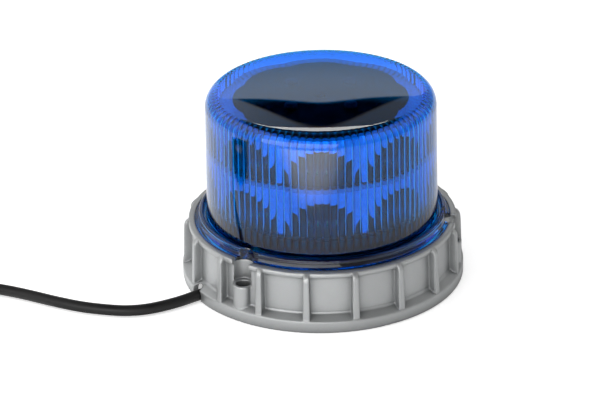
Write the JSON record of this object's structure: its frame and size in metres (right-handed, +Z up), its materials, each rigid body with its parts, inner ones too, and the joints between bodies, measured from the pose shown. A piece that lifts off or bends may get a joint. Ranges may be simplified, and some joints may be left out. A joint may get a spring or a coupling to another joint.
{
  "type": "warning beacon",
  "caption": "LED warning beacon with a ribbed die-cast foot, a twist-off blue fluted dome lens over two tiers of reflector bowls, and a supply cable.",
  "frame": {"origin": "centre of the foot's underside, on the mounting plane", "axes": "+Z up along the axis of the lens, -Y to the front of the stored view, +X to its right"},
  "size_m": [0.417, 0.2288, 0.12],
  "materials": {
    "cast_paint": "satin silver-grey paint on die casting",
    "lens_blue": "clear blue polycarbonate, polished",
    "seal_rubber": "moulded",
    "nut_plastic": "moulded",
    "vent_plastic": "moulded",
    "driver_laminate": "solder mask over laminate",
    "light_board": "white mask over aluminium core",
    "screw_steel": "zinc plated",
    "can_aluminium": "drawn can",
    "coil_ferrite": "shielded coil",
    "chip_epoxy": "moulded",
    "terminal_plastic": "moulded",
    "socket_plastic": "moulded",
    "core_insulation": "extruded",
    "wire_insulation": "extruded",
    "sink_aluminium": "as cast",
    "plate_aluminium": "rolled sheet",
    "heat_pad": "filled silicone",
    "light_source": "phosphor under silicone",
    "bowl_metal": "vacuum-metallised",
    "cover_plastic": "moulded, dark",
    "cable_jacket": "extruded, matt",
    "tinned_copper": "tinned"
  },
  "bodies": {
    "base": {"base_housing": "cast_paint", "lens_seal": "seal_rubber", "cable_gland": "seal_rubber", "gland_nut": "nut_plastic", "vent_plug": "vent_plastic", "driver_board": "driver_laminate", "board_screws": "screw_steel", "board_capacitors": "can_aluminium", "board_inductors": "coil_ferrite", "board_chips": "chip_epoxy", "cable_terminal": "terminal_plastic", "harness_socket": "socket_plastic", "inner_cores": "core_insulation", "heat_sink": "sink_aluminium", "sink_screws": "screw_steel", "centre_column": "sink_aluminium", "thermal_pad_lower": "heat_pad", "led_board_lower": "light_board", "leds_lower": "light_source", "reflector_lower": "bowl_metal", "heat_plate": "plate_aluminium", "thermal_pad_upper": "heat_pad", "led_board_upper": "light_board", "leds_upper": "light_source", "reflector_upper": "bowl_metal", "top_cover": "cover_plastic", "tie_screws": "screw_steel", "led_sockets": "socket_plastic", "tower_wires": "wire_insulation", "supply_cable": "cable_jacket", "cable_coil": "cable_jacket", "cable_tail": "cable_jacket", "cable_cores": "core_insulation", "core_tips": "tinned_copper"},
    "lens": {"lens": "lens_blue"}
  },
  "joints": [
    {"name": "lens_turn", "type": "hinge", "parent": "base", "child": "lens", "pos_m": [0, 0, 0.0339], "axis": [0, 0, 1], "range_deg": [0, 30]}
  ]
}
